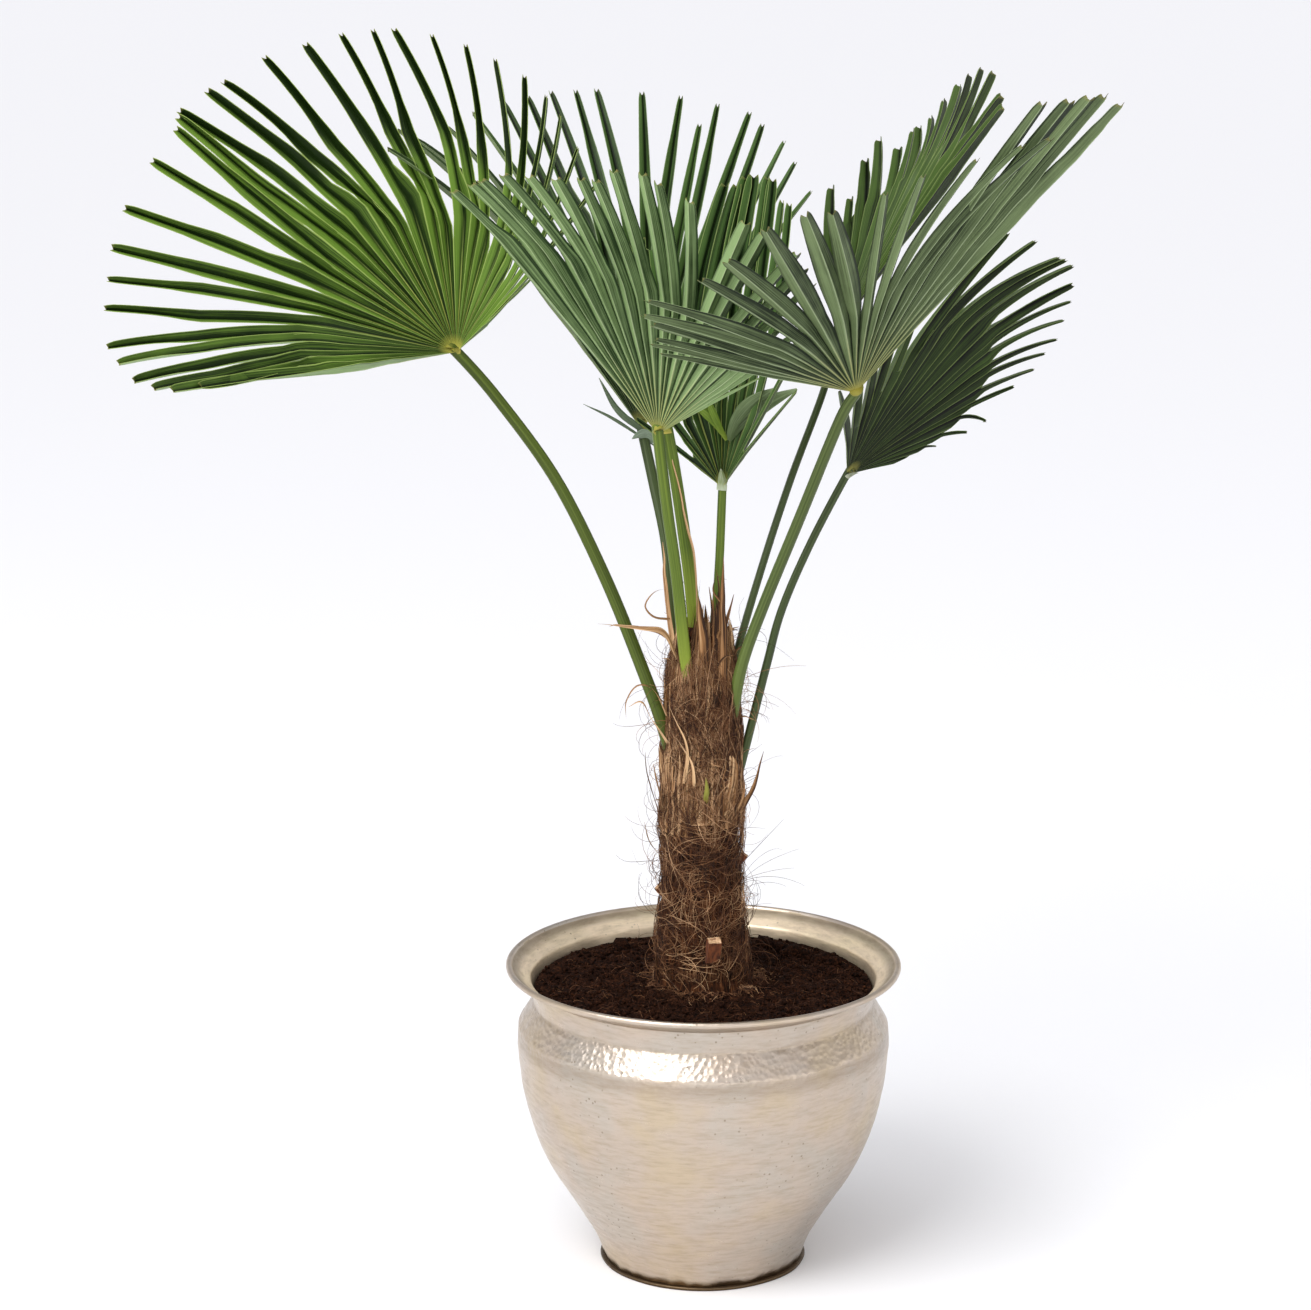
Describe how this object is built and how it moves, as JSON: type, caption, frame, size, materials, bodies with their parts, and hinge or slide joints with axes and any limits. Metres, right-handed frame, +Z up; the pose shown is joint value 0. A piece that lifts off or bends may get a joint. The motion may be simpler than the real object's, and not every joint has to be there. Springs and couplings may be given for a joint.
{
  "type": "potted windmill palm",
  "caption": "Young fan palm with pleated palmate leaves on slim stems and a fibre-clad trunk, standing in soil in a round hammered metal pot.",
  "frame": {"origin": "on the pot's axis, at the underside of the plate that the pot stands on", "axes": "+Z up along the pot's axis, -Y towards the side of the plant that the picture shows, +X to the right seen from there"},
  "size_m": [0.9442, 0.7238, 1.2324],
  "materials": {
    "hammered_metal": "satin",
    "peat_soil": "matte",
    "palm_fibre": "matte",
    "dried_leaf": "matte",
    "leaf_green": "satin",
    "leaf_grey_green": "satin",
    "leaf_dark_green": "satin"
  },
  "bodies": {
    "root": {"pot_body": "hammered_metal", "pot_base": "hammered_metal", "soil": "peat_soil", "trunk": "palm_fibre", "dry_sheath_left": "dried_leaf", "dry_sheath_front": "dried_leaf", "dry_sheath_right": "dried_leaf", "dry_ribbon": "dried_leaf", "frond_left": "leaf_green", "frond_young": "leaf_green", "frond_spear": "leaf_green", "frond_front": "leaf_grey_green", "frond_right_front": "leaf_grey_green", "frond_rear": "leaf_dark_green", "frond_right_rear": "leaf_dark_green", "frond_right_low": "leaf_dark_green"}
  },
  "joints": []
}
